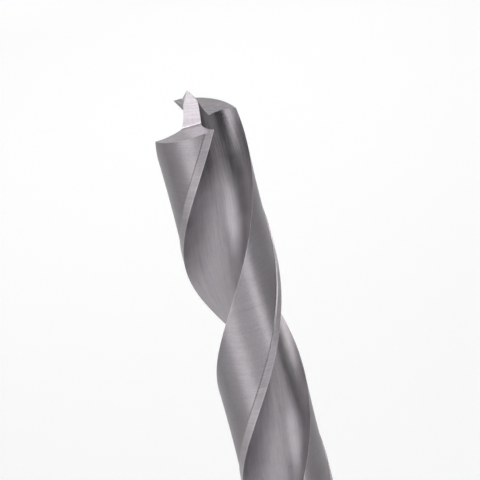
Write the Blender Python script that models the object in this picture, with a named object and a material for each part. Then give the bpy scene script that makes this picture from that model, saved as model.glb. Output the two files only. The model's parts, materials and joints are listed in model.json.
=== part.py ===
# Brad point drill bit: a right-hand twist drill with two flutes, ground from one round bar.
# Its point has a tall centre spear and a spur at the outer end of each lip.
# It stands on its shank end with the origin at the centre of that face. Metres, +Z up.

from math import atan2, cos, degrees, hypot, pi, radians, sin, sqrt, tan

import bmesh
import bpy
from mathutils import Matrix, Vector

# Bar and lengths
BODY_DIAMETER = 0.0100        # across the two margins
SHANK_DIAMETER = 0.0100       # plain round shank
OVERALL_LENGTH = 0.1330       # shank end to the tip of the spear
SPEAR_HEIGHT = 0.0030         # tip of the spear above the spurs
FLUTE_LENGTH = 0.0870         # spurs to the last trace of the flutes
RUN_OUT_LENGTH = 0.0130       # stretch over which the flutes get shallow
SHANK_CHAMFER = 0.0006        # on the end face's rim
NECK_LENGTH = 0.0015          # from the end of the flutes to the full shank

# Helix
LEAD = 0.0585                 # axial length of one turn
SPUR_DIRECTION = radians(-69.7)   # where the first lip's spur points, from +X

# Lands, measured as angles behind the leading corner
LAND_ANGLE = radians(85.0)    # leading corner to heel
MARGIN_WIDTH = 0.00096        # narrow strip at full diameter
RELIEF_DEPTH = 0.00022        # deepest clearance behind the margin
RELIEF_OFFSET = 0.00043       # how far the clearance arc's centre is moved
RELIEF_PLACE = radians(47.0)  # where the clearance is deepest

# Flute section, in a frame whose first axis runs along the lip
WEB_THICKNESS = 0.00152       # core left between the flutes at the point
WEB_GROWTH = 0.00060          # how much thicker it is where the flutes end
ROOT_ANGLE = radians(57.0)    # where the flute touches the web, from the lip
LIP_RUN = 0.00250             # how far the lip keeps its way in from its spur
LIP_HOOK = radians(12.0)      # the lip curls behind its spur as it leaves it
LIP_ROOT_BEND = 0.00060       # how softly the lip turns into the root
HEEL_ROOT_BEND = 0.00090      # how softly the root turns into the heel wall
HEEL_RUN = 0.00170            # how far the heel wall runs straight in from its corner
HEEL_HOOK = radians(34.0)     # the heel wall curls forward at its corner

# Point
LIP_SLOPE = radians(8.9)      # each lip falls from its spur toward the spear
CLEARANCE_ANGLE = radians(4.7)    # the ground face falls behind the lip
SPEAR_TURN = radians(37.5)    # spear's broad faces, turned behind the lip
SPEAR_LEAN = radians(18.0)    # how far those faces lean in from upright
VALLEY_FILLET = 0.00022       # between a broad face and the clearance face
FACET_TURN = radians(77.2)    # spear's tip facets, turned ahead of the lip
FACET_LEAN = radians(28.5)    # how far the tip facets lean in
FACET_FLOOR = 0.0005          # height above the spurs where the facet cut stops
CHISEL_EDGE = 0.00006         # width of the spear's very tip

# Fineness of the mesh
TURN_STEP = radians(10.0)     # twist from one section to the next
LAND_STEPS = 14
MARGIN_STEPS = 2
FLUTE_STEPS = 20
CURVE_STEPS = 12
RUN_OUT_STEPS = 12
SHANK_STEPS = 64
FILLET_STEPS = 4
ROOT_CROWDING = 0.6           # draws the flute's points together at its root

MERGE_DISTANCE = 0.00001
SMOOTH_ANGLE = radians(24.0)

STEEL_COLOUR = (0.44, 0.42, 0.42, 1.0)
STEEL_ROUGHNESS = 0.32

# Sizes that follow
BODY_RADIUS = BODY_DIAMETER / 2
SHANK_RADIUS = SHANK_DIAMETER / 2
SPUR_HEIGHT = OVERALL_LENGTH - SPEAR_HEIGHT
FLUTE_END = SPUR_HEIGHT - FLUTE_LENGTH
RUN_OUT_START = FLUTE_END + RUN_OUT_LENGTH
MARGIN_ANGLE = MARGIN_WIDTH / BODY_RADIUS
BLANK_TOP = OVERALL_LENGTH + CHISEL_EDGE * 4
CUTTER_REACH = BODY_DIAMETER + SPEAR_HEIGHT


def clear_scene():
    for item in list(bpy.data.objects):
        bpy.data.objects.remove(item, do_unlink=True)


def steel():
    material = bpy.data.materials.new("ground_steel")
    material.use_nodes = True
    surface = material.node_tree.nodes["Principled BSDF"]
    surface.inputs["Base Color"].default_value = STEEL_COLOUR
    surface.inputs["Metallic"].default_value = 1.0
    surface.inputs["Roughness"].default_value = STEEL_ROUGHNESS
    return material


def polar(radius, angle):
    return Vector((radius * cos(angle), radius * sin(angle)))


def blend(start, end, share):
    return start + (end - start) * share


# Flute section

def curve_between(start, leaving, arriving, end):
    """A cubic curve that leaves and arrives by two steps; its end point is left out."""
    points = []
    for step in range(CURVE_STEPS):
        share = step / CURVE_STEPS
        first = blend(start, start + leaving, share)
        middle = blend(start + leaving, end - arriving, share)
        last = blend(end - arriving, end, share)
        points.append(blend(blend(first, middle, share), blend(middle, last, share), share))
    return points


def flute_curve(web_radius, heel_corner):
    """One flute's whole outline, from beyond the lip, round its root, to beyond the heel."""
    lip_corner = Vector((BODY_RADIUS, 0))
    inward = polar(1.0, pi + LIP_HOOK)
    root = polar(web_radius, ROOT_ANGLE)
    round_web = polar(1.0, ROOT_ANGLE + pi / 2)
    to_heel = polar(1.0, pi / 2 - HEEL_HOOK)
    lip_side = curve_between(lip_corner, inward * LIP_RUN, round_web * LIP_ROOT_BEND, root)
    heel_side = curve_between(root, round_web * HEEL_ROOT_BEND, to_heel * HEEL_RUN, heel_corner)
    beyond_lip = lip_corner - inward * BODY_DIAMETER
    beyond_heel = heel_corner + to_heel * BODY_DIAMETER
    return [beyond_lip] + lip_side + heel_side + [heel_corner, beyond_heel]


def crossing(inner, outer, radius):
    """Where the line from a point inside the circle to one outside meets it."""
    run = outer - inner
    a = run.dot(run)
    b = inner.dot(run)
    c = inner.dot(inner) - radius * radius
    return inner + run * ((-b + sqrt(b * b - a * c)) / a)


def inside_bar(curve, lip_radius, heel_radius):
    """The stretch of the outline that lies inside the bar, ending on its surface."""
    inner = [index for index, point in enumerate(curve) if point.length < heel_radius]
    if not inner:
        lowest = min(curve, key=lambda point: point.length)
        return [lowest.normalized() * lip_radius] * 2
    first = inner[0]
    last = inner[-1]
    lip_corner = crossing(curve[first], curve[first - 1], lip_radius)
    heel_corner = crossing(curve[last], curve[last + 1], heel_radius)
    return [lip_corner] + curve[first:last + 1] + [heel_corner]


def spaced(curve, steps):
    """The outline with a set number of points, closest together halfway along."""
    distance = [0.0]
    for before, after in zip(curve, curve[1:]):
        distance.append(distance[-1] + (after - before).length)
    points = []
    segment = 0
    for step in range(steps + 1):
        share = step / steps
        share += ROOT_CROWDING * sin(2 * pi * share) / (2 * pi)
        target = share * distance[-1]
        while segment < len(curve) - 2 and distance[segment + 1] < target:
            segment += 1
        length = distance[segment + 1] - distance[segment]
        part = (target - distance[segment]) / length if length else 0.0
        points.append(blend(curve[segment], curve[segment + 1], min(part, 1.0)))
    return points


# Land

def relieved_radius(behind):
    """Radius of the clearance arc, an off-centre circle, at an angle behind the lip."""
    circle = BODY_RADIUS - RELIEF_DEPTH + RELIEF_OFFSET
    turn = behind - RELIEF_PLACE
    return sqrt(circle ** 2 - (RELIEF_OFFSET * sin(turn)) ** 2) - RELIEF_OFFSET * cos(turn)


def land_radius(behind, span, relief):
    """Radius behind the margin; the relief fades where the flutes run out."""
    full = relieved_radius(behind * LAND_ANGLE / span)
    return BODY_RADIUS - relief * (BODY_RADIUS - full)


# Whole section

def half_section(web_radius, run_out):
    """Half a section in polar form, from one heel to the next, the lip pointing along 0."""
    relief = 1 - run_out ** 2
    heel_radius = land_radius(LAND_ANGLE, LAND_ANGLE, relief)
    heel_corner = polar(land_radius(LAND_ANGLE, LAND_ANGLE, 1.0), pi - LAND_ANGLE)
    lift = polar((BODY_RADIUS - web_radius) * run_out ** 2, ROOT_ANGLE)
    curve = [point + lift for point in flute_curve(web_radius, heel_corner)]
    flute = spaced(inside_bar(curve, BODY_RADIUS, heel_radius), FLUTE_STEPS)
    lip = atan2(flute[0].y, flute[0].x)
    next_heel = atan2(flute[-1].y, flute[-1].x)
    span = pi - next_heel + lip
    ring = []
    for step in range(LAND_STEPS + 1):
        behind = blend(span, MARGIN_ANGLE, step / LAND_STEPS)
        ring.append((land_radius(behind, span, relief), lip - behind))
    for step in range(MARGIN_STEPS + 1):
        behind = blend(MARGIN_ANGLE, 0.0, step / MARGIN_STEPS)
        ring.append((BODY_RADIUS, lip - behind))
    for point in flute[1:-1]:
        ring.append((hypot(point.x, point.y), atan2(point.y, point.x)))
    return ring


def fluted_section(height, run_out):
    """Corners of one full section at a height, turned to its place on the helix."""
    along = (SPUR_HEIGHT - height) / FLUTE_LENGTH
    web_radius = (WEB_THICKNESS + WEB_GROWTH * max(along, 0.0)) / 2
    turn = SPUR_DIRECTION + 2 * pi * (height - SPUR_HEIGHT) / LEAD
    half = half_section(web_radius, run_out)
    corners = []
    for side in (0.0, pi):
        for radius, angle in half:
            spot = polar(radius, angle + turn + side)
            corners.append(Vector((spot.x, spot.y, height)))
    return corners


def section_places():
    """Height and run-out, from 0 to 1, of each section down the bar."""
    fall = TURN_STEP * LEAD / (2 * pi)
    steps = max(round((BLANK_TOP - RUN_OUT_START) / fall), 1)
    places = []
    for step in range(steps + 1):
        places.append((blend(BLANK_TOP, RUN_OUT_START, step / steps), 0.0))
    for step in range(1, RUN_OUT_STEPS + 1):
        run_out = sin(pi / 2 * step / RUN_OUT_STEPS)
        places.append((RUN_OUT_START - run_out * RUN_OUT_LENGTH, run_out))
    return places


# Meshing

def add_ring(mesh, corners):
    return [mesh.verts.new(corner) for corner in corners]


def shank_ring(mesh, radius, height):
    corners = []
    for step in range(SHANK_STEPS):
        spot = polar(radius, 2 * pi * step / SHANK_STEPS)
        corners.append(Vector((spot.x, spot.y, height)))
    return add_ring(mesh, corners)


def join_rings(mesh, upper, lower):
    """A band of faces between two rings of equal count."""
    for index in range(len(upper)):
        after = (index + 1) % len(upper)
        mesh.faces.new((upper[index], lower[index], lower[after], upper[after]))


def by_angle(ring):
    return sorted(ring, key=lambda corner: atan2(corner.co.y, corner.co.x))


def stitch_rings(mesh, upper, lower):
    """A band of triangles between two round rings whose corners don't line up."""
    upper = by_angle(upper)
    lower = by_angle(lower)

    def angle(ring, index):
        corner = ring[index % len(ring)].co
        return atan2(corner.y, corner.x) + 2 * pi * (index // len(ring))

    above = 0
    below = 0
    while above < len(upper) or below < len(lower):
        step_above = below == len(lower) or (
            above < len(upper) and angle(upper, above + 1) < angle(lower, below + 1))
        high = upper[above % len(upper)]
        low = lower[below % len(lower)]
        if step_above:
            above += 1
            mesh.faces.new((high, low, upper[above % len(upper)]))
        else:
            below += 1
            mesh.faces.new((high, low, lower[below % len(lower)]))


def fluted_bar(mesh):
    """The helical length, sections joined one under another; returns its lowest ring."""
    rings = []
    for height, run_out in section_places():
        rings.append(add_ring(mesh, fluted_section(height, run_out)))
    for upper, lower in zip(rings, rings[1:]):
        join_rings(mesh, upper, lower)
    mesh.faces.new(rings[0])
    bmesh.ops.remove_doubles(mesh, verts=mesh.verts[:], dist=MERGE_DISTANCE)
    return [corner for corner in mesh.verts if abs(corner.co.z - FLUTE_END) < MERGE_DISTANCE]


def shank(mesh, flute_end_ring):
    """The plain shank below the flutes, with its end chamfer and flat end face."""
    neck = shank_ring(mesh, SHANK_RADIUS, FLUTE_END - NECK_LENGTH)
    chamfer_top = shank_ring(mesh, SHANK_RADIUS, SHANK_CHAMFER)
    rim = shank_ring(mesh, SHANK_RADIUS - SHANK_CHAMFER, 0.0)
    stitch_rings(mesh, flute_end_ring, neck)
    join_rings(mesh, neck, chamfer_top)
    join_rings(mesh, chamfer_top, rim)
    mesh.faces.new(list(reversed(rim)))


def blank():
    """The fluted bar with its shank, before its point is ground."""
    mesh = bmesh.new()
    shank(mesh, fluted_bar(mesh))
    bmesh.ops.triangulate(mesh, faces=mesh.faces[:], quad_method="SHORT_EDGE")
    bmesh.ops.recalc_face_normals(mesh, faces=mesh.faces[:])
    data = bpy.data.meshes.new("drill_bit")
    mesh.to_mesh(data)
    mesh.free()
    data.shade_smooth()
    data.set_sharp_from_angle(angle=SMOOTH_ANGLE)
    bit = bpy.data.objects.new("drill_bit", data)
    bpy.context.scene.collection.objects.link(bit)
    return bit


# Point grinding

def lip_frame():
    """Unit vectors along the first lip, outward, and level behind it."""
    along = polar(1.0, SPUR_DIRECTION).to_3d()
    behind = polar(1.0, SPUR_DIRECTION - pi / 2).to_3d()
    return along, behind


def clearance_plane():
    """A point and the upward normal of the ground face behind the first lip."""
    along, behind = lip_frame()
    spur = along * BODY_RADIUS + Vector((0, 0, SPUR_HEIGHT))
    normal = Vector((0, 0, 1)) - along * tan(LIP_SLOPE) + behind * tan(CLEARANCE_ANGLE)
    return spur, normal.normalized()


def leaning_normal(direction, lean):
    """Normal of a face that looks along a direction and leans back by an angle."""
    level = polar(cos(lean), direction)
    return Vector((level.x, level.y, sin(lean)))


def meeting_line(first_point, first_normal, second_point, second_normal):
    """The direction of the line where two planes meet, and its point nearest the axis."""
    along = first_normal.cross(second_normal).normalized()
    planes = Matrix((first_normal, second_normal, along))
    offsets = Vector((first_normal.dot(first_point), second_normal.dot(second_point), 0))
    spot = planes.inverted() @ offsets
    spot -= along * (spot.xy.dot(along.xy) / along.xy.length_squared)
    return along, spot


def rounded_corner(corner, first, second, radius):
    """Points of a fillet in the corner between two unit directions, from first to second."""
    half = first.angle(second) / 2
    centre = corner + (first + second).normalized() * (radius / sin(half))
    start = (corner + first * (radius / tan(half)) - centre).normalized()
    end = (corner + second * (radius / tan(half)) - centre).normalized()
    shares = [step / FILLET_STEPS for step in range(FILLET_STEPS + 1)]
    return [centre + start.slerp(end, share) * radius for share in shares]


def prism(name, outline, along, reach):
    """A closed prism on a flat outline, as far each way as its reach, used as a cutter."""
    mesh = bmesh.new()
    face = mesh.faces.new([mesh.verts.new(point - along * reach) for point in outline])
    extruded = bmesh.ops.extrude_face_region(mesh, geom=[face])
    moved = [item for item in extruded["geom"] if isinstance(item, bmesh.types.BMVert)]
    bmesh.ops.translate(mesh, verts=moved, vec=along * reach * 2)
    bmesh.ops.recalc_face_normals(mesh, faces=mesh.faces[:])
    data = bpy.data.meshes.new(name)
    mesh.to_mesh(data)
    mesh.free()
    return data


def lip_wheel():
    """What the wheel takes off over one lip: the clearance face and the spear's broad face."""
    tip = Vector((0, 0, OVERALL_LENGTH))
    spur, floor_normal = clearance_plane()
    wall_normal = leaning_normal(SPUR_DIRECTION - SPEAR_TURN, SPEAR_LEAN)
    valley, spot = meeting_line(spur, floor_normal, tip, wall_normal)
    outward = valley.cross(floor_normal)
    outward *= 1 if outward.dot(wall_normal) > 0 else -1
    upward = valley.cross(wall_normal)
    upward *= 1 if upward.dot(floor_normal) > 0 else -1
    outline = rounded_corner(spot, outward, upward, VALLEY_FILLET)
    far_out = outward * CUTTER_REACH
    far_up = upward * CUTTER_REACH
    outline += [spot + far_up, spot + far_up + far_out, spot + far_out]
    return prism("lip_wheel", outline, valley, CUTTER_REACH)


def facet_wheel():
    """What the wheel takes off beside the spear's tip: one narrow facet."""
    facing = polar(1.0, SPUR_DIRECTION + FACET_TURN).to_3d()
    across = polar(1.0, SPUR_DIRECTION + FACET_TURN + pi / 2).to_3d()
    edge = Vector((0, 0, OVERALL_LENGTH)) + facing * CHISEL_EDGE / 2
    down = Vector((0, 0, -1)) + facing * tan(FACET_LEAN)
    upper = edge - down * SPEAR_HEIGHT
    lower = edge + down * (SPEAR_HEIGHT - FACET_FLOOR)
    far = facing * CUTTER_REACH
    return prism("facet_wheel", [upper, lower, lower + far, upper + far], across, CUTTER_REACH)


def grind(bit, data, turn):
    """Take a cutter, turned about the axis, off the bit."""
    cutter = bpy.data.objects.new(f"{data.name}_{round(degrees(turn))}", data)
    bpy.context.scene.collection.objects.link(cutter)
    cutter.rotation_euler.z = turn
    cutter.hide_render = True
    cutter.display_type = "WIRE"
    cut = bit.modifiers.new(cutter.name, "BOOLEAN")
    cut.operation = "DIFFERENCE"
    cut.solver = "EXACT"
    cut.object = cutter


def main():
    clear_scene()
    bit = blank()
    for data in (lip_wheel(), facet_wheel()):
        for turn in (0.0, pi):
            grind(bit, data, turn)
    bit.data.materials.append(steel())


main()
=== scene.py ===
# %% [markdown]
# # A brad point drill bit
# The bit is ground from one round steel bar. A wheel cuts two flutes that wind up the bar, a
# second one lowers the lands behind their margins, and two more shape the point: a tall centre
# spear, and a spur at the outer end of each lip. This lesson builds it in the same order: the
# body with its flutes and lands, then the steel, then the point.
#
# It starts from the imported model, whose box the finished piece must not leave.

import json
from math import atan, cos, degrees, pi, radians, sin, tan

import bmesh
import bpy
from mathutils import Matrix, Vector

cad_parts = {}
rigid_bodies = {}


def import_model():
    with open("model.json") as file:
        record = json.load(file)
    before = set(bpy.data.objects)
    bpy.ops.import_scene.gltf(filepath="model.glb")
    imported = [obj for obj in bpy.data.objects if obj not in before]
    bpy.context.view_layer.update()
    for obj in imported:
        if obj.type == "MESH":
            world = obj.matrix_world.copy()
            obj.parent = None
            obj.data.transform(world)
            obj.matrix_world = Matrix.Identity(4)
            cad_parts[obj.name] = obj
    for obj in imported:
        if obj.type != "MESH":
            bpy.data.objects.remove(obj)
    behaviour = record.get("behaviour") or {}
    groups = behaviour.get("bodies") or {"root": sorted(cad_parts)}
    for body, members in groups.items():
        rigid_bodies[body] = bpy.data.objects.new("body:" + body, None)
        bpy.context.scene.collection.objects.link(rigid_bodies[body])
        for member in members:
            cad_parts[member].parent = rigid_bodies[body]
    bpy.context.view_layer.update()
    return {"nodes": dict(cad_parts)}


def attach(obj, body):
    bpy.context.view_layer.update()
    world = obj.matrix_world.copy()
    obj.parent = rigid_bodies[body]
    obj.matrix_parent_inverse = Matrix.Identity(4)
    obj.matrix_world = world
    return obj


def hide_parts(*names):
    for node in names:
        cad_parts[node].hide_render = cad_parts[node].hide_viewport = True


def in_mm(length):
    return round(length * 1000, 2)


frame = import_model()
print("packed nodes:", sorted(frame["nodes"]))

# %% [markdown]
# ## Sizes
# A bit is known by a few sizes: its diameter, its lengths, and the lead, which is how far the
# flutes climb in one turn. The rest shapes the section. Numbers could stand where they are used,
# but a name in one place says what each is, and lets it be changed. All lengths are in metres
# and all angles in radians. The section is described in a frame of its own, whose first axis
# runs along the lip, out to the spur.

# %% Sizes of the bar, the helix and the section
BODY_RADIUS = 0.0050
SHANK_RADIUS = 0.0050
OVERALL_LENGTH = 0.1330
SPEAR_HEIGHT = 0.0030
SPUR_HEIGHT = OVERALL_LENGTH - SPEAR_HEIGHT
FLUTE_LENGTH = 0.0870
FLUTE_END = SPUR_HEIGHT - FLUTE_LENGTH
RUN_OUT_LENGTH = 0.0130
RUN_OUT_START = FLUTE_END + RUN_OUT_LENGTH
NECK_LENGTH = 0.0015
SHANK_CHAMFER = 0.0006
LEAD = 0.0585
SPUR_DIRECTION = radians(-69.7)

LAND_ANGLE = radians(85.0)
MARGIN_WIDTH = 0.00096
MARGIN_ANGLE = MARGIN_WIDTH / BODY_RADIUS
RELIEF_DEPTH = 0.00022
RELIEF_OFFSET = 0.00043
RELIEF_PLACE = radians(47.0)

WEB_THICKNESS = 0.00152
WEB_GROWTH = 0.00060
ROOT_ANGLE = radians(57.0)
LIP_RUN = 0.00250
LIP_HOOK = radians(12.0)
LIP_ROOT_BEND = 0.00060
HEEL_ROOT_BEND = 0.00090
HEEL_RUN = 0.00170
HEEL_HOOK = radians(34.0)
HELIX_ANGLE = atan(2 * pi * BODY_RADIUS / LEAD)
print("turns of the flutes:", round(FLUTE_LENGTH / LEAD, 2))
print("helix angle at the rim in degrees:", round(degrees(HELIX_ANGLE), 1))

# %% [markdown]
# ## The point in numbers
# A brad point cuts the rim of the hole first, with its spurs, while the spear keeps the bit on
# its mark. The angles say how the grinding wheels stand to the axis: the lip rises toward its
# spur, the face behind it falls away so that only the lip touches the wood, and the faces of
# the spear lean in toward the tip.

# %% Sizes of the point
LIP_SLOPE = radians(8.9)
CLEARANCE_ANGLE = radians(4.7)
SPEAR_TURN = radians(37.5)
SPEAR_LEAN = radians(18.0)
VALLEY_FILLET = 0.00022
FACET_TURN = radians(77.2)
FACET_LEAN = radians(28.5)
FACET_FLOOR = 0.0005
CHISEL_EDGE = 0.00006
BLANK_SPARE = CHISEL_EDGE * 4     # bar above the tip, which the wheels take off
BLANK_TOP = OVERALL_LENGTH + BLANK_SPARE
CUTTER_REACH = BODY_RADIUS * 2 + SPEAR_HEIGHT
print("height of the blank in mm:", in_mm(BLANK_TOP))

# %% [markdown]
# ## Node trees from plain formulas
# Both the shape and the finishes are worked out by node trees. Adding each node by hand makes
# long scripts, so this small class stands for the value on a socket and turns plain arithmetic
# on it into Math nodes. The same class serves Geometry Nodes and shaders.

# %% Feeding a socket
def feed(tree, value, socket):
    """Link a value from the tree to a socket, or set the socket to a plain number."""
    if isinstance(value, Field):
        tree.links.new(value.socket, socket)
    else:
        socket.default_value = value


# %% A value in a node tree
class Field:
    """A number that a node tree works out at every point."""

    def __init__(self, tree, socket):
        self.tree = tree
        self.socket = socket

    def step(self, operation, *others):
        """What one Math node makes of this value and others."""
        node = self.tree.nodes.new("ShaderNodeMath")
        node.operation = operation
        for value, socket in zip((self, *others), node.inputs):
            feed(self.tree, value, socket)
        return Field(self.tree, node.outputs[0])

    def __add__(self, other):
        return self.step("ADD", other)

    def __sub__(self, other):
        return self.step("SUBTRACT", other)

    def __mul__(self, other):
        return self.step("MULTIPLY", other)

    def __truediv__(self, other):
        return self.step("DIVIDE", other)

    def __neg__(self):
        return self * -1.0

    def __rsub__(self, other):
        return -self + other

    __radd__ = __add__
    __rmul__ = __mul__

    def clamped(self):
        return self.step("MAXIMUM", 0.0).step("MINIMUM", 1.0)


# %% Nodes for points and switches
MIX_INPUTS = (0, 4, 5)        # share, start and end on a Mix node that mixes vectors
MIX_OUTPUT = 1


def add_node(tree, kind, settings=(), **inputs):
    """A node with its settings, its inputs given by name with _ for each space."""
    node = tree.nodes.new(kind)
    for name, value in dict(settings).items():
        setattr(node, name, value)
    for name, value in inputs.items():
        feed(tree, value, node.inputs[name.replace("_", " ")])
    return node


def point_at(tree, x, y, z=0.0):
    return Field(tree, add_node(tree, "ShaderNodeCombineXYZ", X=x, Y=y, Z=z).outputs[0])


def parts_of(tree, point):
    split = add_node(tree, "ShaderNodeSeparateXYZ", Vector=point)
    return [Field(tree, socket) for socket in split.outputs]


def between(tree, start, end, share):
    """The point at a share of the way from one point to another."""
    node = tree.nodes.new("ShaderNodeMix")
    node.data_type = "VECTOR"
    for value, number in zip((share, start, end), MIX_INPUTS):
        feed(tree, value, node.inputs[number])
    return Field(tree, node.outputs[MIX_OUTPUT])


def either(tree, test, when_true, when_false):
    """One of two points, by a test that is 1 or 0."""
    return between(tree, when_false, when_true, test)


# %% [markdown]
# ## The spine of the bar
# The body's shape follows a rule: one section, turned evenly as it climbs the axis. A loop
# could place every corner of such a mesh, but a sweep by Geometry Nodes makes all the faces by
# itself and keeps the sizes as inputs. It runs along a straight line of points that stand at the
# heights of the sections. They crowd together at the end of the flutes, where the shape changes
# fast.

# %% Heights of the sections
SECTION_SPACING = 0.00036
RUN_OUT_SECTIONS = 40
SHANK_SECTIONS = 12


def section_heights():
    """Heights from the shank's end face up to the top of the blank."""
    chamfer_to_neck = FLUTE_END - NECK_LENGTH - SHANK_CHAMFER
    heights = [0.0]
    for step in range(SHANK_SECTIONS + 1):
        heights.append(SHANK_CHAMFER + chamfer_to_neck * step / SHANK_SECTIONS)
    for step in range(RUN_OUT_SECTIONS, 0, -1):
        heights.append(RUN_OUT_START - RUN_OUT_LENGTH * sin(pi / 2 * step / RUN_OUT_SECTIONS))
    count = round((BLANK_TOP - RUN_OUT_START) / SECTION_SPACING)
    for step in range(count + 1):
        heights.append(RUN_OUT_START + (BLANK_TOP - RUN_OUT_START) * step / count)
    return heights


def upright_line(name, heights):
    """A mesh of points on the axis, joined by edges."""
    data = bpy.data.meshes.new(name)
    data.from_pydata([(0, 0, height) for height in heights],
                     [(index, index + 1) for index in range(len(heights) - 1)], [])
    line = bpy.data.objects.new(name, data)
    bpy.context.scene.collection.objects.link(line)
    return line


spine = upright_line("ground_drill_bit", section_heights())
print("sections:", len(spine.data.vertices))

# %% [markdown]
# ## The section
# Half a section runs from a lip, down into the flute, round its root, up the heel wall, over the
# rounded heel, along the land and up a small step onto the margin. The other half is the same,
# half a turn on. It could be drawn by hand as a curve, but here formulas draw it, so it follows
# every size. Each stretch gets its own count of points.

# %% Points along half a section
FLUTE_POINTS = 56
HEEL_POINTS = 5
LAND_POINTS = 26
STEP_POINTS = 6
MARGIN_POINTS = 5
HEEL_START = FLUTE_POINTS
LAND_START = HEEL_START + HEEL_POINTS
STEP_START = LAND_START + LAND_POINTS
MARGIN_START = STEP_START + STEP_POINTS
HALF_POINTS = MARGIN_START + MARGIN_POINTS
EDGE_BREAK = 0.00005
STEP_WIDTH = radians(1.0)
SMALLEST_DEPTH = 0.00001      # share of the depth below which the flute has ended
print("points round a whole section:", HALF_POINTS * 2)


# %% Curves of the section
def cubic_point(tree, start, leaving, arriving, end, share):
    """A point on a cubic curve between four control points."""
    first = between(tree, start, leaving, share)
    middle = between(tree, leaving, arriving, share)
    last = between(tree, arriving, end, share)
    return between(tree, between(tree, first, middle, share),
                   between(tree, middle, last, share), share)


def polar_point(tree, radius, angle):
    return point_at(tree, radius * angle.step("COSINE"), radius * angle.step("SINE"))


def relieved_radius(size, behind):
    """Radius of the lowered land, an off-centre circle, at an angle behind the lip."""
    circle = size["Body radius"] - size["Relief depth"] + size["Relief offset"]
    turn = behind - size["Relief place"]
    side = size["Relief offset"] * turn.step("SINE")
    along = size["Relief offset"] * turn.step("COSINE")
    return (circle * circle - side * side).step("SQRT") - along


# %% [markdown]
# ## The tree that sweeps the body
# A round curve with the right count of points is swept up the spine, which gives a plain tube
# whose points know their place round the section. One formula then moves every point to where
# the section has it. Toward the shank the wheel lifts out of the bar: the flutes get shallow and
# narrow together, and end in a rounded tongue.

# %% Sizes that the tree is given
BODY_SIZES = {
    "Body radius": BODY_RADIUS,
    "Shank radius": SHANK_RADIUS,
    "Spur height": SPUR_HEIGHT,
    "Flute length": FLUTE_LENGTH,
    "Run out length": RUN_OUT_LENGTH,
    "Neck length": NECK_LENGTH,
    "Shank chamfer": SHANK_CHAMFER,
    "Lead": LEAD,
    "Spur direction": SPUR_DIRECTION,
    "Land angle": LAND_ANGLE,
    "Margin angle": MARGIN_ANGLE,
    "Relief depth": RELIEF_DEPTH,
    "Relief offset": RELIEF_OFFSET,
    "Relief place": RELIEF_PLACE,
    "Web thickness": WEB_THICKNESS,
    "Web growth": WEB_GROWTH,
    "Root angle": ROOT_ANGLE,
    "Lip run": LIP_RUN,
    "Lip hook": LIP_HOOK,
    "Lip root bend": LIP_ROOT_BEND,
    "Heel root bend": HEEL_ROOT_BEND,
    "Heel run": HEEL_RUN,
    "Heel hook": HEEL_HOOK,
    "Edge break": EDGE_BREAK,
    "Step width": STEP_WIDTH,
}
FINISH_INPUTS = ("Flute finish", "Land finish", "Margin finish", "Shank finish")
print("inputs:", len(BODY_SIZES), "sizes and", len(FINISH_INPUTS), "finishes")


# %% An empty tree with those inputs
def body_tree():
    """An empty tree with its inputs and output, and the sizes as values in it."""
    tree = bpy.data.node_groups.new("fluted_bar", "GeometryNodeTree")
    tree.interface.new_socket("Spine", in_out="INPUT", socket_type="NodeSocketGeometry")
    for name in BODY_SIZES:
        tree.interface.new_socket(name, in_out="INPUT", socket_type="NodeSocketFloat")
    for name in FINISH_INPUTS:
        tree.interface.new_socket(name, in_out="INPUT", socket_type="NodeSocketMaterial")
    tree.interface.new_socket("Bar", in_out="OUTPUT", socket_type="NodeSocketGeometry")
    given = tree.nodes.new("NodeGroupInput")
    return tree, {socket.name: Field(tree, socket) for socket in given.outputs if socket.name}


# %% [markdown]
# ## One point of the section
# A flute has a hooked lip side, a round root that touches the web, which is the thin core
# between the two flutes, and a hollow heel wall. Two cubic curves that meet at the root draw it.
# Arcs could do so too, but a cubic gives the hook at the lip and at the heel by one number each.
# The land lies a little below the margin, so that only the margin rubs the wall of the hole. It
# is an arc of a circle a little off the axis, deepest near its middle, and a smooth step joins
# it to the margin.

# %% Shares of a stretch, and moved points
def along_stretch(place, first, count):
    """From 0 to 1 over a stretch of points, and level before and after it."""
    return ((place - first) / count).clamped()


def moved(tree, point, distance, angle):
    """A point moved a distance in a direction."""
    added = tree.nodes.new("ShaderNodeVectorMath")
    feed(tree, point, added.inputs[0])
    feed(tree, polar_point(tree, distance, angle), added.inputs[1])
    return Field(tree, added.outputs[0])


# %% A point in the flute
def flute_point(tree, size, place, web_radius, heel_corner):
    """A point on the flute's outline, from the lip round the root to just short of the heel."""
    half = FLUTE_POINTS / 2
    lip_share = along_stretch(place, 0.0, half)
    end_speed = 3 * size["Heel run"]      # how fast the cubic nears the heel
    heel_share = along_stretch(place, half, half) * (1 - size["Edge break"] / end_speed)
    round_web = size["Root angle"] + pi / 2
    heel_way = pi / 2 - size["Heel hook"]
    lip_corner = point_at(tree, size["Body radius"], 0.0)
    root = polar_point(tree, web_radius, size["Root angle"])
    lip_side = cubic_point(
        tree, lip_corner, moved(tree, lip_corner, -size["Lip run"], size["Lip hook"]),
        moved(tree, root, -size["Lip root bend"], round_web), root, lip_share)
    heel_side = cubic_point(
        tree, root, moved(tree, root, size["Heel root bend"], round_web),
        moved(tree, heel_corner, -size["Heel run"], heel_way), heel_corner, heel_share)
    return either(tree, place.step("GREATER_THAN", half), heel_side, lip_side)


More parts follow.
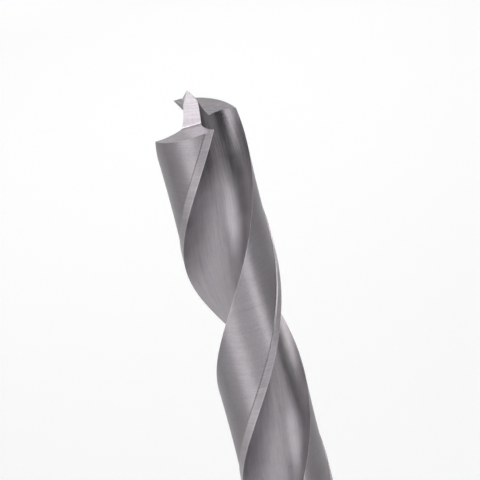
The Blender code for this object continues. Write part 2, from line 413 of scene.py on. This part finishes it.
# %% A point on the land
def land_point(tree, size, place):
    """A point on the land, the step behind the margin, or the margin."""
    step_share = along_stretch(place, STEP_START, STEP_POINTS)
    first = size["Land angle"] - size["Edge break"] / size["Body radius"]
    last = size["Margin angle"] + size["Step width"]
    behind = first - (first - last) * along_stretch(place, LAND_START, LAND_POINTS)
    behind = behind - size["Step width"] * step_share
    behind = behind - size["Margin angle"] * along_stretch(place, MARGIN_START, MARGIN_POINTS)
    lowered = relieved_radius(size, behind)
    rise = step_share * step_share * (3 - 2 * step_share)
    return polar_point(tree, lowered + (size["Body radius"] - lowered) * rise, pi - behind)


# %% A point anywhere on half a section
def section_point(tree, size, place, web_radius):
    """In the flute or on the land, with the heel's corner rounded between the two."""
    heel_radius = relieved_radius(size, size["Land angle"])
    heel_corner = polar_point(tree, heel_radius, pi - size["Land angle"])
    flute = flute_point(tree, size, place, web_radius, heel_corner)
    land = land_point(tree, size, place)
    share = along_stretch(place, HEEL_START, HEEL_POINTS)
    return between(tree, between(tree, flute, heel_corner, share),
                   between(tree, heel_corner, land, share), share)


# %% [markdown]
# ## Where the flutes end
# At the end of its pass the flute wheel lifts out of the bar, and what it leaves gets shallow
# and narrow together. A cut with a copy of the wheel would give this end too, but a fading
# section keeps the faces in even rows. So each point moves out to the full radius by the share
# that the wheel has lifted, and closes in on the direction of the root. The shank below has the
# same points, at its own radius, with a small chamfer at the end.

# %% The same point where the flutes run out
HALF_A_POINT = 0.5


def run_out(tree, size, place, point, height):
    """Radius and angle of the point once the wheel lifts and the flute narrows."""
    x, y = parts_of(tree, point)[:2]
    radius = (x * x + y * y).step("SQRT")
    angle = y.step("ARCTAN2", x)
    start = size["Spur height"] - size["Flute length"] + size["Run out length"]
    fall = ((start - height) / size["Run out length"]).clamped()
    shallow = (1 - fall * fall).step("SNAP", SMALLEST_DEPTH)
    narrow = 1 - shallow.step("SQRT")
    in_flute = angle + (size["Root angle"] - angle) * narrow
    behind = pi - angle
    lowered_angle = size["Land angle"] - size["Margin angle"]
    spread = ((behind - size["Margin angle"]) / lowered_angle).clamped()
    behind = behind + (pi - size["Land angle"]) * narrow * spread
    on_land = pi + size["Root angle"] * narrow - behind
    is_land = place.step("GREATER_THAN", LAND_START - HALF_A_POINT)
    angle = in_flute + (on_land - in_flute) * is_land
    return size["Body radius"] - (size["Body radius"] - radius) * shallow, angle


# %% The shank, and where each point of the tube goes
def shank_radius(size, radius, height):
    """The radius carried on over the neck and the shank, down to its end chamfer."""
    flute_end = size["Spur height"] - size["Flute length"]
    share = ((flute_end - height) / size["Neck length"]).clamped()
    shank = radius * (1 + (size["Shank radius"] / size["Body radius"] - 1) * share)
    return shank - (size["Shank chamfer"] - height).step("MAXIMUM", 0.0)


def swept_position(tree, size, around, height):
    """Where each point of the tube goes."""
    half = (around / HALF_POINTS).step("FLOOR")
    place = around - half * HALF_POINTS
    climbed = ((size["Spur height"] - height) / size["Flute length"]).step("MAXIMUM", 0.0)
    web_radius = (size["Web thickness"] + size["Web growth"] * climbed) / 2
    point = section_point(tree, size, place, web_radius)
    radius, angle = run_out(tree, size, place, point, height)
    radius = shank_radius(size, radius, height)
    flute_end = size["Spur height"] - size["Flute length"]
    rise = height.step("MAXIMUM", flute_end) - size["Spur height"]
    angle = angle + size["Spur direction"] + rise * (2 * pi) / size["Lead"] + half * pi
    return point_at(tree, radius * angle.step("COSINE"), radius * angle.step("SINE"), height)


# %% [markdown]
# ## Tube, numbers and zones
# Each point of the round curve stores its number before the sweep, because afterwards it no
# longer knows where on the section it came from. The same numbers tell which finish a face
# gets, so that no face has to be picked by hand. Points that fall together where the flutes
# have closed are merged.

# %% The numbered tube
def sweep(tree, size):
    """A tube up the spine, its points numbered round the section and moved into place."""
    ring = add_node(tree, "GeometryNodeCurvePrimitiveCircle", Radius=BODY_RADIUS)
    ring.inputs["Resolution"].default_value = HALF_POINTS * 2
    number = add_node(tree, "GeometryNodeInputIndex")
    numbered = add_node(tree, "GeometryNodeStoreNamedAttribute", {"data_type": "FLOAT"})
    numbered.inputs["Name"].default_value = "around"
    tree.links.new(ring.outputs["Curve"], numbered.inputs["Geometry"])
    tree.links.new(number.outputs["Index"], numbered.inputs["Value"])
    line = add_node(tree, "GeometryNodeMeshToCurve")
    tree.links.new(size["Spine"].socket, line.inputs["Mesh"])
    tube = add_node(tree, "GeometryNodeCurveToMesh")
    tree.links.new(line.outputs["Curve"], tube.inputs["Curve"])
    tree.links.new(numbered.outputs["Geometry"], tube.inputs["Profile Curve"])
    tube.inputs["Fill Caps"].default_value = True
    around_name = add_node(tree, "GeometryNodeInputNamedAttribute", {"data_type": "FLOAT"})
    around_name.inputs["Name"].default_value = "around"
    around = Field(tree, around_name.outputs["Attribute"])
    spot = Field(tree, add_node(tree, "GeometryNodeInputPosition").outputs[0])
    height = parts_of(tree, spot)[2]
    placed = add_node(tree, "GeometryNodeSetPosition",
                      Position=swept_position(tree, size, around, height))
    tree.links.new(tube.outputs["Mesh"], placed.inputs["Geometry"])
    return placed.outputs["Geometry"], around, height


# %% A finish for each zone
def finish_zones(tree, size, bar, around, height):
    """Flute, land, margin and shank finishes by place on the section and height."""
    half = (around / HALF_POINTS).step("FLOOR")
    place = around - half * HALF_POINTS
    everywhere = place * 0 + 1
    flute_end = size["Spur height"] - size["Flute length"]
    zones = [
        ("Flute finish", everywhere),
        ("Land finish", place.step("GREATER_THAN", HEEL_START + HEEL_POINTS / 2)),
        ("Margin finish", place.step("GREATER_THAN", STEP_START)),
        ("Shank finish", flute_end.step("GREATER_THAN", height)),
    ]
    for name, chosen in zones:
        painted = add_node(tree, "GeometryNodeSetMaterial", Selection=chosen, Material=size[name])
        tree.links.new(bar, painted.inputs["Geometry"])
        bar = painted.outputs["Geometry"]
    return bar


# %% The whole tree
MERGE_DISTANCE = 0.0000001


def fluted_bar():
    """The tree from the spine to the bar, its doubled points merged and its finishes given."""
    tree, size = body_tree()
    bar, around, height = sweep(tree, size)
    merged = add_node(tree, "GeometryNodeMergeByDistance", Distance=MERGE_DISTANCE)
    tree.links.new(bar, merged.inputs["Geometry"])
    plain = add_node(tree, "GeometryNodeRealizeInstances")
    tree.links.new(merged.outputs["Geometry"], plain.inputs["Geometry"])
    finished = finish_zones(tree, size, plain.outputs["Geometry"], around, height)
    result = add_node(tree, "NodeGroupOutput")
    tree.links.new(finished, result.inputs["Bar"])
    return tree


# %% [markdown]
# ## Directions at the point
# A few directions fix the whole point: the way the lip runs, the way behind it, the normals of
# the clearance face and of the spear's broad face, and the valley where those two meet. They
# could be read off a finished mesh, but worked out from the angles they hold for any size. They
# come before the finishes, because the marks on the point run along that valley.

# %% Directions at the point
def polar(radius, angle):
    return Vector((radius * cos(angle), radius * sin(angle), 0.0))


lip_way = polar(1.0, SPUR_DIRECTION)
behind_way = polar(1.0, SPUR_DIRECTION - pi / 2)
spur = lip_way * BODY_RADIUS + Vector((0, 0, SPUR_HEIGHT))
tip = Vector((0, 0, OVERALL_LENGTH))
floor_normal = Vector((0, 0, 1)) - lip_way * tan(LIP_SLOPE) + behind_way * tan(CLEARANCE_ANGLE)
floor_normal.normalize()
wall_normal = polar(cos(SPEAR_LEAN), SPUR_DIRECTION - SPEAR_TURN) + Vector((0, 0, sin(SPEAR_LEAN)))
valley_way = wall_normal.cross(floor_normal).normalized()
print("valley runs toward", [round(part, 3) for part in valley_way])


# %% [markdown]
# ## Ground steel
# The whole bit is one steel, but each surface was ground in its own direction, and the marks
# decide how it shines: light spreads across the marks and stays narrow along them. So every
# finish is the same metal with streaks of its own. A streak is plain noise on coordinates that
# are squeezed along the marks. A painted picture could hold such marks too, but noise needs no
# unwrapping and stays sharp close up.
#
# Marks in the flutes wind with the helix, so their coordinates are untwisted first. The lands,
# the margins and the shank are ground while the bar turns, so their marks run round the axis.
# Those on the point run along the valley beside the spear.

# %% Coordinates that follow the marks
STEEL_COLOUR = (0.44, 0.414, 0.438)
STREAKS_ALONG = 0.035         # squeeze of the noise along the marks
FINE_STREAKS = 9000.0         # noise cells to a metre
BROAD_STREAKS = 1900.0
STAINS = 405.0


def place_on_piece(tree):
    return Field(tree, add_node(tree, "ShaderNodeTexCoord").outputs["Object"])


def untwisted(tree, place):
    """The place turned back by the helix, so that a flute's wall stays put all the way down."""
    x, y, z = parts_of(tree, place)
    twist = (SPUR_HEIGHT - z.step("MAXIMUM", FLUTE_END)) * (2 * pi / LEAD) - SPUR_DIRECTION
    cosine = twist.step("COSINE")
    sine = twist.step("SINE")
    return x * cosine - y * sine, x * sine + y * cosine, z


def along_helix(tree, place):
    """Coordinates for marks that wind with the flutes, and the marks' own direction."""
    x, y, z = untwisted(tree, place)
    true_x, true_y = parts_of(tree, place)[:2]
    rise = 2 * pi / LEAD
    marks = point_at(tree, true_y * -rise, true_x * rise, 1.0)
    return point_at(tree, x, y, z * STREAKS_ALONG), marks


# %% Marks round the axis and along the valley
def round_axis(tree, place):
    """Coordinates for marks that run round the bar, and the marks' own direction."""
    x, y, z = parts_of(tree, place)
    return point_at(tree, x * STREAKS_ALONG, y * STREAKS_ALONG, z), point_at(tree, -y, x, 0.0)


def along_valley(tree, place):
    """Coordinates for marks parallel to the valley beside the spear, the same on both sides."""
    x, y, z = parts_of(tree, place)
    outward = valley_way.cross(Vector((0, 0, 1))).normalized()
    side = (x * outward.x + y * outward.y).step("SIGN")
    x = x * side
    y = y * side
    along = x * valley_way.x + y * valley_way.y + z * valley_way.z
    across = x * outward.x + y * outward.y
    marks = point_at(tree, side * valley_way.x, side * valley_way.y, valley_way.z)
    return point_at(tree, along * STREAKS_ALONG, across, z), marks


# %% [markdown]
# ## Streaks, stains and grain
# Ground steel is never even. Fine and broad streaks, faint stains and tiny dents each change its
# tone a little, and each is a noise of its own size. A painted streak that shines like the
# steel beside it looks printed, so the same noises change the roughness too. The fine streaks
# and the dents also lower the surface, by a few thousandths of a millimetre.

# %% Noise on those coordinates
GREEN_WARMTH = 0.35           # share of the blue's loss that green loses too


def noise(tree, place, scale, detail=2.0, roughness=0.55):
    """Noise about 0, from roughly -0.5 to 0.5."""
    node = add_node(tree, "ShaderNodeTexNoise", Vector=place, Scale=scale, Detail=detail,
                    Roughness=roughness)
    return Field(tree, node.outputs[0]) - 0.5


def tinted(tree, tone, warmth):
    """The steel's colour made lighter by a share, and a little browner where warmth is over 0."""
    red, green, blue = STEEL_COLOUR
    node = add_node(tree, "ShaderNodeCombineColor", Red=tone * red, Blue=tone * blue * (1 - warmth),
                    Green=tone * green * (1 - warmth * GREEN_WARMTH))
    return Field(tree, node.outputs[0])


# %% [markdown]
# ## Painted highlight and painted shade
# Two painted marks give this steel the light on its edges and in its flutes. The edge of the
# margin and the heel are painted lighter in a line a tenth of a millimetre wide, a painted
# highlight for the light that those edges catch. Near the lips the flutes are painted darker in
# patches, as painted shade where they mirror less light. Both are worked out from a point's place
# on the piece, so no edge has to be picked by hand.

# %% Painted highlight on the edges
EDGE_HIGHLIGHT_WIDTH = 0.00012
EDGE_HIGHLIGHT_TONE = 0.45


def painted_edge_highlight(tree, place):
    """A painted highlight: 1 on the heel and on the margin's cutting edge, down to 0 a hair's
    breadth away from them.
    """
    x, y, z = parts_of(tree, place)
    turned = (z - SPUR_HEIGHT) * (2 * pi / LEAD) - y.step("ARCTAN2", x) + SPUR_DIRECTION
    behind = turned.step("FLOORED_MODULO", pi)
    from_lip = behind.step("MINIMUM", pi - behind)
    from_heel = (behind - LAND_ANGLE).step("ABSOLUTE")
    distance = from_lip.step("MINIMUM", from_heel) * BODY_RADIUS
    return (1 - distance / EDGE_HIGHLIGHT_WIDTH).clamped() * z.step("GREATER_THAN", RUN_OUT_START)


# %% Painted shade in the flutes beside the lips
SHADE_FROM = SPUR_HEIGHT - 0.0090
SHADE_TO = SPUR_HEIGHT - 0.0055
SHADE_DEPTH = 0.48
SHADE_PATCHES = 1.5            # how far the stains move the dark zone's edge


def painted_shade_mark(tree, place, stain):
    """The share of colour that the flutes lose to painted shade: patches, more of them toward the
    lips.
    """
    height = parts_of(tree, place)[2]
    reach = (height - SHADE_FROM) / (SHADE_TO - SHADE_FROM) + stain * SHADE_PATCHES
    return reach.clamped() * SHADE_DEPTH


print("darkened from", in_mm(SPUR_HEIGHT - SHADE_FROM), "mm below the spurs")


# %% [markdown]
# ## The finishes
# One helper makes every finish, because they differ only in numbers: which way the marks run,
# how rough the steel is, how much wider it shines across the marks, and how strong the streaks,
# stains and grain are. Only the flutes get the painted shade near the lips. Each finish also has a
# tone, set so that it renders about as bright as it looks under these lamps, so the tones hold some
# painted light and shade: the faces of the point get the highest, and are the brightest.

# %% One finish
STREAK_DEPTH = 0.0000015
GRAINS = 5200.0               # small dents to a metre
GRAIN_DEPTH = 0.000004
ACROSS_MARKS = 0.25           # a quarter turn from the marks
BROAD_SHARE = 0.5             # strength of the broad streaks, as a share of the fine ones'
WARMTH = {"broad": 0.35, "stain": 0.3}
UNEVEN_ROUGHNESS = {"fine": 0.12, "broad": 0.1, "stain": 0.3}


def steel(name, marks, roughness, spread, tone=1.0, streaks=0.4, stains=0.3, grain=0.3,
          edge_highlight=False, painted_shade=False):
    """Ground steel: marks gives its coordinates, spread how much wider it shines across them."""
    material = bpy.data.materials.new(name)
    material.use_nodes = True
    tree = material.node_tree
    surface = tree.nodes["Principled BSDF"]
    surface.inputs["Metallic"].default_value = 1.0
    surface.inputs["Anisotropic"].default_value = spread
    surface.inputs["Anisotropic Rotation"].default_value = ACROSS_MARKS
    place = place_on_piece(tree)
    streak_place, direction = marks(tree, place)
    fine = noise(tree, streak_place, FINE_STREAKS)
    broad = noise(tree, streak_place, BROAD_STREAKS, detail=3.0)
    stain = noise(tree, place, STAINS, detail=5.0, roughness=0.65)
    grains = noise(tree, place, GRAINS, detail=2.0)
    shade = (fine + broad * BROAD_SHARE) * streaks + stain * stains + grains * grain + 1.0
    # a painted highlight along the heel and the margin's edge, for the light that those edges catch
    if edge_highlight:
        shade = shade + painted_edge_highlight(tree, place) * EDGE_HIGHLIGHT_TONE
    # painted shade: the flutes are darkened near the lips, where they mirror less light
    if painted_shade:
        shade = shade - painted_shade_mark(tree, place, stain)
    warmth = (broad * WARMTH["broad"] + stain * WARMTH["stain"]) * stains
    feed(tree, tinted(tree, shade * tone, warmth), surface.inputs["Base Color"])
    uneven = fine * UNEVEN_ROUGHNESS["fine"] + broad * UNEVEN_ROUGHNESS["broad"]
    uneven = uneven + stain * UNEVEN_ROUGHNESS["stain"]
    feed(tree, (uneven + roughness).clamped(), surface.inputs["Roughness"])
    height = fine * (STREAK_DEPTH / GRAIN_DEPTH) + grains
    bump = add_node(tree, "ShaderNodeBump", Height=height, Strength=1.0, Distance=GRAIN_DEPTH)
    tree.links.new(bump.outputs[0], surface.inputs["Normal"])
    feed(tree, direction, surface.inputs["Tangent"])
    return material


# %% The six finishes
# Each tone is matched to how bright its surface renders, so besides the steel's own differences the
# tones hold painted light and shade.
flute_steel = steel("flute_steel", along_helix, roughness=0.34, spread=0.88, tone=0.89,
                    streaks=0.5, stains=0.45, grain=0.15, painted_shade=True)
land_steel = steel("land_steel", round_axis, roughness=0.45, spread=0.94, tone=0.86,
                   streaks=0.3, grain=0.35, edge_highlight=True)
margin_steel = steel("margin_steel", round_axis, roughness=0.36, spread=0.8, tone=0.90,
                     streaks=0.6, edge_highlight=True)
shank_steel = steel("shank_steel", round_axis, roughness=0.36, spread=0.8, tone=1.05)
clearance_steel = steel("clearance_steel", along_valley, roughness=0.38, spread=0.5, tone=1.14,
                        streaks=0.9)
spear_steel = steel("spear_steel", along_valley, roughness=0.42, spread=0.7, tone=1.15,
                    streaks=0.6, stains=0.1)
FINISHES = dict(zip(FINISH_INPUTS, (flute_steel, land_steel, margin_steel, shank_steel)))
print("finishes of the body:", list(FINISHES))


# %% [markdown]
# ## The fluted bar
# Now the tree runs once, with the sizes and finishes as its inputs. What it makes is kept as a
# plain mesh, so that the next step cuts a fixed shape, and the finished piece carries no
# modifier.

# %% Sweep the body and keep it as a plain mesh
def set_inputs(modifier, values):
    """Give a node modifier its inputs, each by the identifier of its socket."""
    for item in modifier.node_group.interface.items_tree:
        if item.in_out == "INPUT" and item.name in values:
            modifier[item.identifier] = values[item.name]


def as_plain_mesh(piece):
    """Keep what the modifiers make as the piece's own mesh, and drop the modifiers."""
    bpy.context.view_layer.update()
    graph = bpy.context.evaluated_depsgraph_get()
    made = bpy.data.meshes.new_from_object(piece.evaluated_get(graph))
    piece.modifiers.clear()
    piece.data = made
    return piece


sweep_modifier = spine.modifiers.new("sweep", "NODES")
sweep_modifier.node_group = fluted_bar()
set_inputs(sweep_modifier, {**BODY_SIZES, **FINISHES})
bit = as_plain_mesh(spine)
print("nodes in the tree:", len(sweep_modifier.node_group.nodes))
print("swept faces:", len(bit.data.polygons), "finishes:", [m.name for m in bit.data.materials])

# %% [markdown]
# ## Grinding the point
# A real point is ground by wheels that pass over the bar's end, and each pass is made twice,
# half a turn apart. The faces could be placed one by one, but booleans leave the very edges that
# the wheels leave. One wheel has a rounded corner: its floor leaves the clearance face behind a
# lip, its wall leaves a broad face of the spear, and its corner leaves the fillet in the valley
# between them. A second wheel takes the narrow facets beside the tip.

# %% The corner of a wheel
FILLET_STEPS = 8


def meeting_spot(first_point, first_normal, second_point, second_normal, along):
    """The point nearest the axis on the line where two planes meet."""
    planes = Matrix((first_normal, second_normal, along))
    offsets = Vector((first_normal.dot(first_point), second_normal.dot(second_point), 0))
    spot = planes.inverted() @ offsets
    return spot - along * (spot.xy.dot(along.xy) / along.xy.length_squared)


def rounded_corner(corner, first, second, radius):
    """Points of a fillet in the corner between two unit directions, from first to second."""
    half = first.angle(second) / 2
    centre = corner + (first + second).normalized() * (radius / sin(half))
    start = (corner + first * (radius / tan(half)) - centre).normalized()
    end = (corner + second * (radius / tan(half)) - centre).normalized()
    return [centre + start.slerp(end, step / FILLET_STEPS) * radius
            for step in range(FILLET_STEPS + 1)]


# %% [markdown]
# ## A wheel
# A grinding wheel leaves a straight track, so a long prism on its outline stands for it. A solid
# disc could be used too, but only its track matters, and each side of a prism can carry the
# finish that it leaves on the steel.

# %% Any wheel
CLEARANCE = 0                 # numbers of the two finishes on a wheel
SPEAR = 1


def wheel(name, outline, along, finishes):
    """A closed prism on an outline. Each side from a point to the next has its own finish."""
    mesh = bmesh.new()
    near = [mesh.verts.new(point - along * CUTTER_REACH) for point in outline]
    far = [mesh.verts.new(point + along * CUTTER_REACH) for point in outline]
    for index, finish in enumerate(finishes):
        after = (index + 1) % len(outline)
        side = mesh.faces.new((near[index], near[after], far[after], far[index]))
        side.material_index = finish
        side.smooth = True
    mesh.faces.new(near)
    mesh.faces.new(far)
    bmesh.ops.recalc_face_normals(mesh, faces=mesh.faces[:])
    data = bpy.data.meshes.new(name)
    mesh.to_mesh(data)
    mesh.free()
    data.materials.append(clearance_steel)
    data.materials.append(spear_steel)
    return data


# %% The two wheels
def lip_wheel():
    """Leaves the clearance face, the valley's fillet and the spear's broad face."""
    spot = meeting_spot(spur, floor_normal, tip, wall_normal, valley_way)
    outward = valley_way.cross(floor_normal)
    outward *= 1 if outward.dot(wall_normal) > 0 else -1
    upward = valley_way.cross(wall_normal)
    upward *= 1 if upward.dot(floor_normal) > 0 else -1
    corner = rounded_corner(spot, outward, upward, VALLEY_FILLET)
    far_out = outward * CUTTER_REACH
    far_up = upward * CUTTER_REACH
    outline = corner + [spot + far_up, spot + far_up + far_out, spot + far_out]
    finishes = [SPEAR] * (FILLET_STEPS + 1) + [CLEARANCE] * 3
    return wheel("lip_wheel", outline, valley_way, finishes)


def facet_wheel():
    """Leaves one narrow facet beside the spear's tip."""
    facing = polar(1.0, SPUR_DIRECTION + FACET_TURN)
    across = polar(1.0, SPUR_DIRECTION + FACET_TURN + pi / 2)
    edge = tip + facing * CHISEL_EDGE / 2
    down = Vector((0, 0, -1)) + facing * tan(FACET_LEAN)
    upper = edge - down * SPEAR_HEIGHT
    lower = edge + down * (SPEAR_HEIGHT - FACET_FLOOR)
    far = facing * CUTTER_REACH
    return wheel("facet_wheel", [upper, lower, lower + far, upper + far], across, [SPEAR] * 4)


wheels = (lip_wheel(), facet_wheel())
print("sides of the wheels:", {data.name: len(data.polygons) for data in wheels})


# %% [markdown]
# ## The cuts
# Each wheel passes twice, the second time with the bar turned by half. One cut could be finished
# before the next, but as modifiers all four are made together. A new face takes its finish from
# the wheel that left it.

# %% Take the wheels off the bar
def grind(piece, data, turn):
    """Take one wheel, turned about the axis, off the piece."""
    cutter = bpy.data.objects.new(data.name, data)
    bpy.context.scene.collection.objects.link(cutter)
    cutter.rotation_euler.z = turn
    cut = piece.modifiers.new("grind", "BOOLEAN")
    cut.operation = "DIFFERENCE"
    cut.solver = "EXACT"
    cut.material_mode = "TRANSFER"
    cut.object = cutter
    return cutter


cutters = [grind(bit, data, turn) for data in wheels for turn in (0.0, pi)]
as_plain_mesh(bit)
for cutter in cutters:
    bpy.data.objects.remove(cutter)
print("ground faces:", len(bit.data.polygons), "finishes:", [m.name for m in bit.data.materials])

# %% [markdown]
# ## Sharp edges
# The lips, the margins and the point are truly sharp, while the flutes and the rounded heel are
# smooth. Every edge could be marked by hand, but the angle between two faces tells them apart.
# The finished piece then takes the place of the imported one.

# %% Shade it, and put it in the frame
SHARP_ANGLE = radians(32.0)
bit.data.shade_smooth()
bit.data.set_sharp_from_angle(angle=SHARP_ANGLE)
print("sharp over", round(degrees(SHARP_ANGLE)), "degrees")

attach(bit, "root")
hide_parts("drill_bit")

# %% [markdown]
# ## Camera
# A long lens from a little above shows the point and the upper turns of the flutes. The camera
# is rolled too, so that the upright bit leans across the picture. It could be set by eye, but
# where it stands was found by matching edges in the photo with those of the model. AIM says
# where it has the axis, at the height of the spurs: how far to its right, below and ahead.

# %% Camera
LENS = 277.2
CAMERA_RISE = radians(27.48)
CAMERA_ROLL = radians(-14.31)
CAMERA_NEAR = 0.01
AIM = Vector((-0.9924, -2.6631, 78.7533)) * BODY_RADIUS


def place_camera():
    """The camera whose picture the photo's edges were measured against."""
    level = Matrix(((1, 0, 0), (0, -sin(CAMERA_RISE), -cos(CAMERA_RISE)),
                    (0, cos(CAMERA_RISE), -sin(CAMERA_RISE))))
    to_picture = Matrix.Rotation(CAMERA_ROLL, 3, "Z") @ level
    data = bpy.data.cameras.new("camera")
    data.lens = LENS
    data.clip_start = CAMERA_NEAR
    camera = bpy.data.objects.new("camera", data)
    bpy.context.scene.collection.objects.link(camera)
    turned = Matrix((to_picture[0], -to_picture[1], -to_picture[2])).transposed()
    spot = Vector((0, 0, SPUR_HEIGHT)) - to_picture.transposed() @ AIM
    camera.matrix_world = Matrix.Translation(spot) @ turned.to_4x4()
    return camera


camera = place_camera()
bpy.context.scene.camera = camera
print("camera at", [round(part, 4) for part in camera.location])

# %% [markdown]
# ## The floor
# A plain matt floor, wide enough for low views too. More light could make it white, but would
# also bleach the steel. So rays that look at it, straight or in a mirror, get a small lift
# toward white, and a larger one far out, where the lamps don't reach. The lift sends no other
# light: the bit keeps its soft shadow, and the steel mirrors the floor that the picture shows.

# %% The lift toward white
LIFT = 0.105
FAR_LIFT = 0.50
POOL_FROM = 0.33              # where the light of the lamps on the floor starts to fade
POOL_TO = 0.60
SEEN_BY = ("Is Camera Ray", "Is Glossy Ray", "Is Transmission Ray")


def lift(tree):
    """How strongly the floor glows, for the rays that look at it."""
    x, y = parts_of(tree, place_on_piece(tree))[:2]
    outward = ((x * x + y * y).step("SQRT") - POOL_FROM) / (POOL_TO - POOL_FROM)
    rays = add_node(tree, "ShaderNodeLightPath")
    seen = [Field(tree, rays.outputs[name]) for name in SEEN_BY]
    return sum(seen).clamped() * (outward.clamped() * FAR_LIFT + LIFT)


# %% Floor
FLOOR_SIZE = 40.0
FLOOR_COLOUR = (0.95, 0.95, 0.955, 1.0)
FLOOR_ROUGHNESS = 0.9
FLOOR_GLOSS = 0.1


def floor():
    """A plain pale floor that the bit stands on."""
    mesh = bpy.data.meshes.new("floor")
    side = FLOOR_SIZE / 2
    corners = [(-side, -side, 0), (side, -side, 0), (side, side, 0), (-side, side, 0)]
    mesh.from_pydata(corners, [], [(0, 1, 2, 3)])
    piece = bpy.data.objects.new("floor", mesh)
    bpy.context.scene.collection.objects.link(piece)
    material = bpy.data.materials.new("pale_floor")
    material.use_nodes = True
    surface = material.node_tree.nodes["Principled BSDF"]
    surface.inputs["Base Color"].default_value = FLOOR_COLOUR
    surface.inputs["Roughness"].default_value = FLOOR_ROUGHNESS
    surface.inputs["Specular IOR Level"].default_value = FLOOR_GLOSS
    surface.inputs["Emission Color"].default_value = FLOOR_COLOUR
    feed(material.node_tree, lift(material.node_tree), surface.inputs["Emission Strength"])
    mesh.materials.append(material)


floor()
print("floor of", FLOOR_SIZE, "m")

# %% [markdown]
# ## The lamps
# Steel shows what stands round it, so the studio is laid out by what the bit should mirror. Bare
# bulbs would give it hard white dots, so all lamps are wide cloths. Two softboxes stand high on
# the left and right, for the bright lines down the lands. A wide one in front lights the flutes,
# and a faint one low on the left reaches into their shaded side. Two more hang over the floor,
# in front of the bit and behind it, with tight grids that keep nearly all their light on the
# floor. Each lamp is given by the brightness of its cloth, where 1 is white, so a larger cloth
# mirrors the same and only sends more light.

# %% Softboxes
LIT_SPOT = Vector((0.0, 0.0, 0.10))


def softbox(name, place, aim, width, height, brightness, grid=radians(80)):
    """A cloth panel that faces a spot, with a grid that keeps its light within an angle.

    A grid gathers the light into the middle of the beam, so less energy gives the brightness.
    """
    data = bpy.data.lights.new(name, "AREA")
    data.shape = "RECTANGLE"
    data.size = width
    data.size_y = height
    gathered = tan(grid / 2) / (tan(grid / 2) - grid / 2)
    data.energy = brightness * width * height * pi / gathered
    data.spread = grid
    piece = bpy.data.objects.new(name, data)
    bpy.context.scene.collection.objects.link(piece)
    turned = (place - aim).to_track_quat("Z", "Y").to_matrix().to_4x4()
    piece.matrix_world = Matrix.Translation(place) @ turned
    piece.visible_camera = False
    return piece


def seen_at(azimuth, rise, distance):
    """A spot seen from the bit. Azimuth 0 is the camera's side, and grows to its right."""
    level = Vector((sin(azimuth), -cos(azimuth), 0)) * cos(rise)
    return LIT_SPOT + distance * (level + Vector((0, 0, sin(rise))))


# %% Six lamps
boxes = [
    softbox("left_box", seen_at(radians(-40), radians(43), 0.45), LIT_SPOT,
            width=0.28, height=0.34, brightness=6.3),
    softbox("right_box", seen_at(radians(43), radians(40), 0.45), LIT_SPOT,
            width=0.11, height=0.34, brightness=10.5),
    softbox("front_box", seen_at(radians(8), radians(21), 0.90), LIT_SPOT,
            width=0.76, height=0.14, brightness=5.4),
    softbox("low_box", seen_at(radians(-55), radians(-6), 0.35), LIT_SPOT,
            width=0.46, height=0.10, brightness=1.1, grid=radians(120)),
    softbox("front_floor_box", Vector((0.0, -0.26, 0.70)), Vector((0.0, -0.26, 0.0)),
            width=0.40, height=0.30, brightness=4.2, grid=radians(50)),
    softbox("back_floor_box", Vector((0.0, 0.42, 0.70)), Vector((0.0, 0.33, 0.0)),
            width=0.40, height=0.30, brightness=13.5, grid=radians(44)),
]
print("softboxes:", [box.name for box in boxes])

# %% [markdown]
# ## The room
# Between the lamps the bit mirrors the room. An evenly bright one would make the steel look like
# grey paint, so it is dim, and the dark bands in the flutes have something dark to mirror.
# Behind the bit it is pale, and so is a narrow foot all round, where the floor ends.

# %% The room
DIM = 0.05
PALE = 0.7
FOOT = 0.5
FOOT_RISE = 0.06
PALE_SIDE = Vector((-0.20, 0.98, 0.0))
PALE_FROM = 0.0
PALE_TO = 0.80


def room():
    """A dim room, pale behind the bit and along the horizon."""
    world = bpy.data.worlds.new("room")
    bpy.context.scene.world = world
    world.use_nodes = True
    tree = world.node_tree
    direction = Field(tree, add_node(tree, "ShaderNodeTexCoord").outputs["Generated"])
    toward_x, toward_y, toward_z = parts_of(tree, direction)
    backward = toward_x * PALE_SIDE.x + toward_y * PALE_SIDE.y
    share = ((backward - PALE_FROM) / (PALE_TO - PALE_FROM)).clamped()
    share = share * share * (3 - 2 * share)
    background = tree.nodes["Background"]
    background.inputs["Color"].default_value = (1.0, 1.0, 1.0, 1.0)
    foot = 1 - (toward_z / FOOT_RISE).step("ABSOLUTE").step("MINIMUM", 1.0)
    glow = (share * (PALE - DIM)).step("MAXIMUM", foot * (FOOT - DIM)) + DIM
    feed(tree, glow, background.inputs["Strength"])


room()
bpy.context.scene.view_settings.view_transform = "Standard"
print("room from", DIM, "to", PALE)
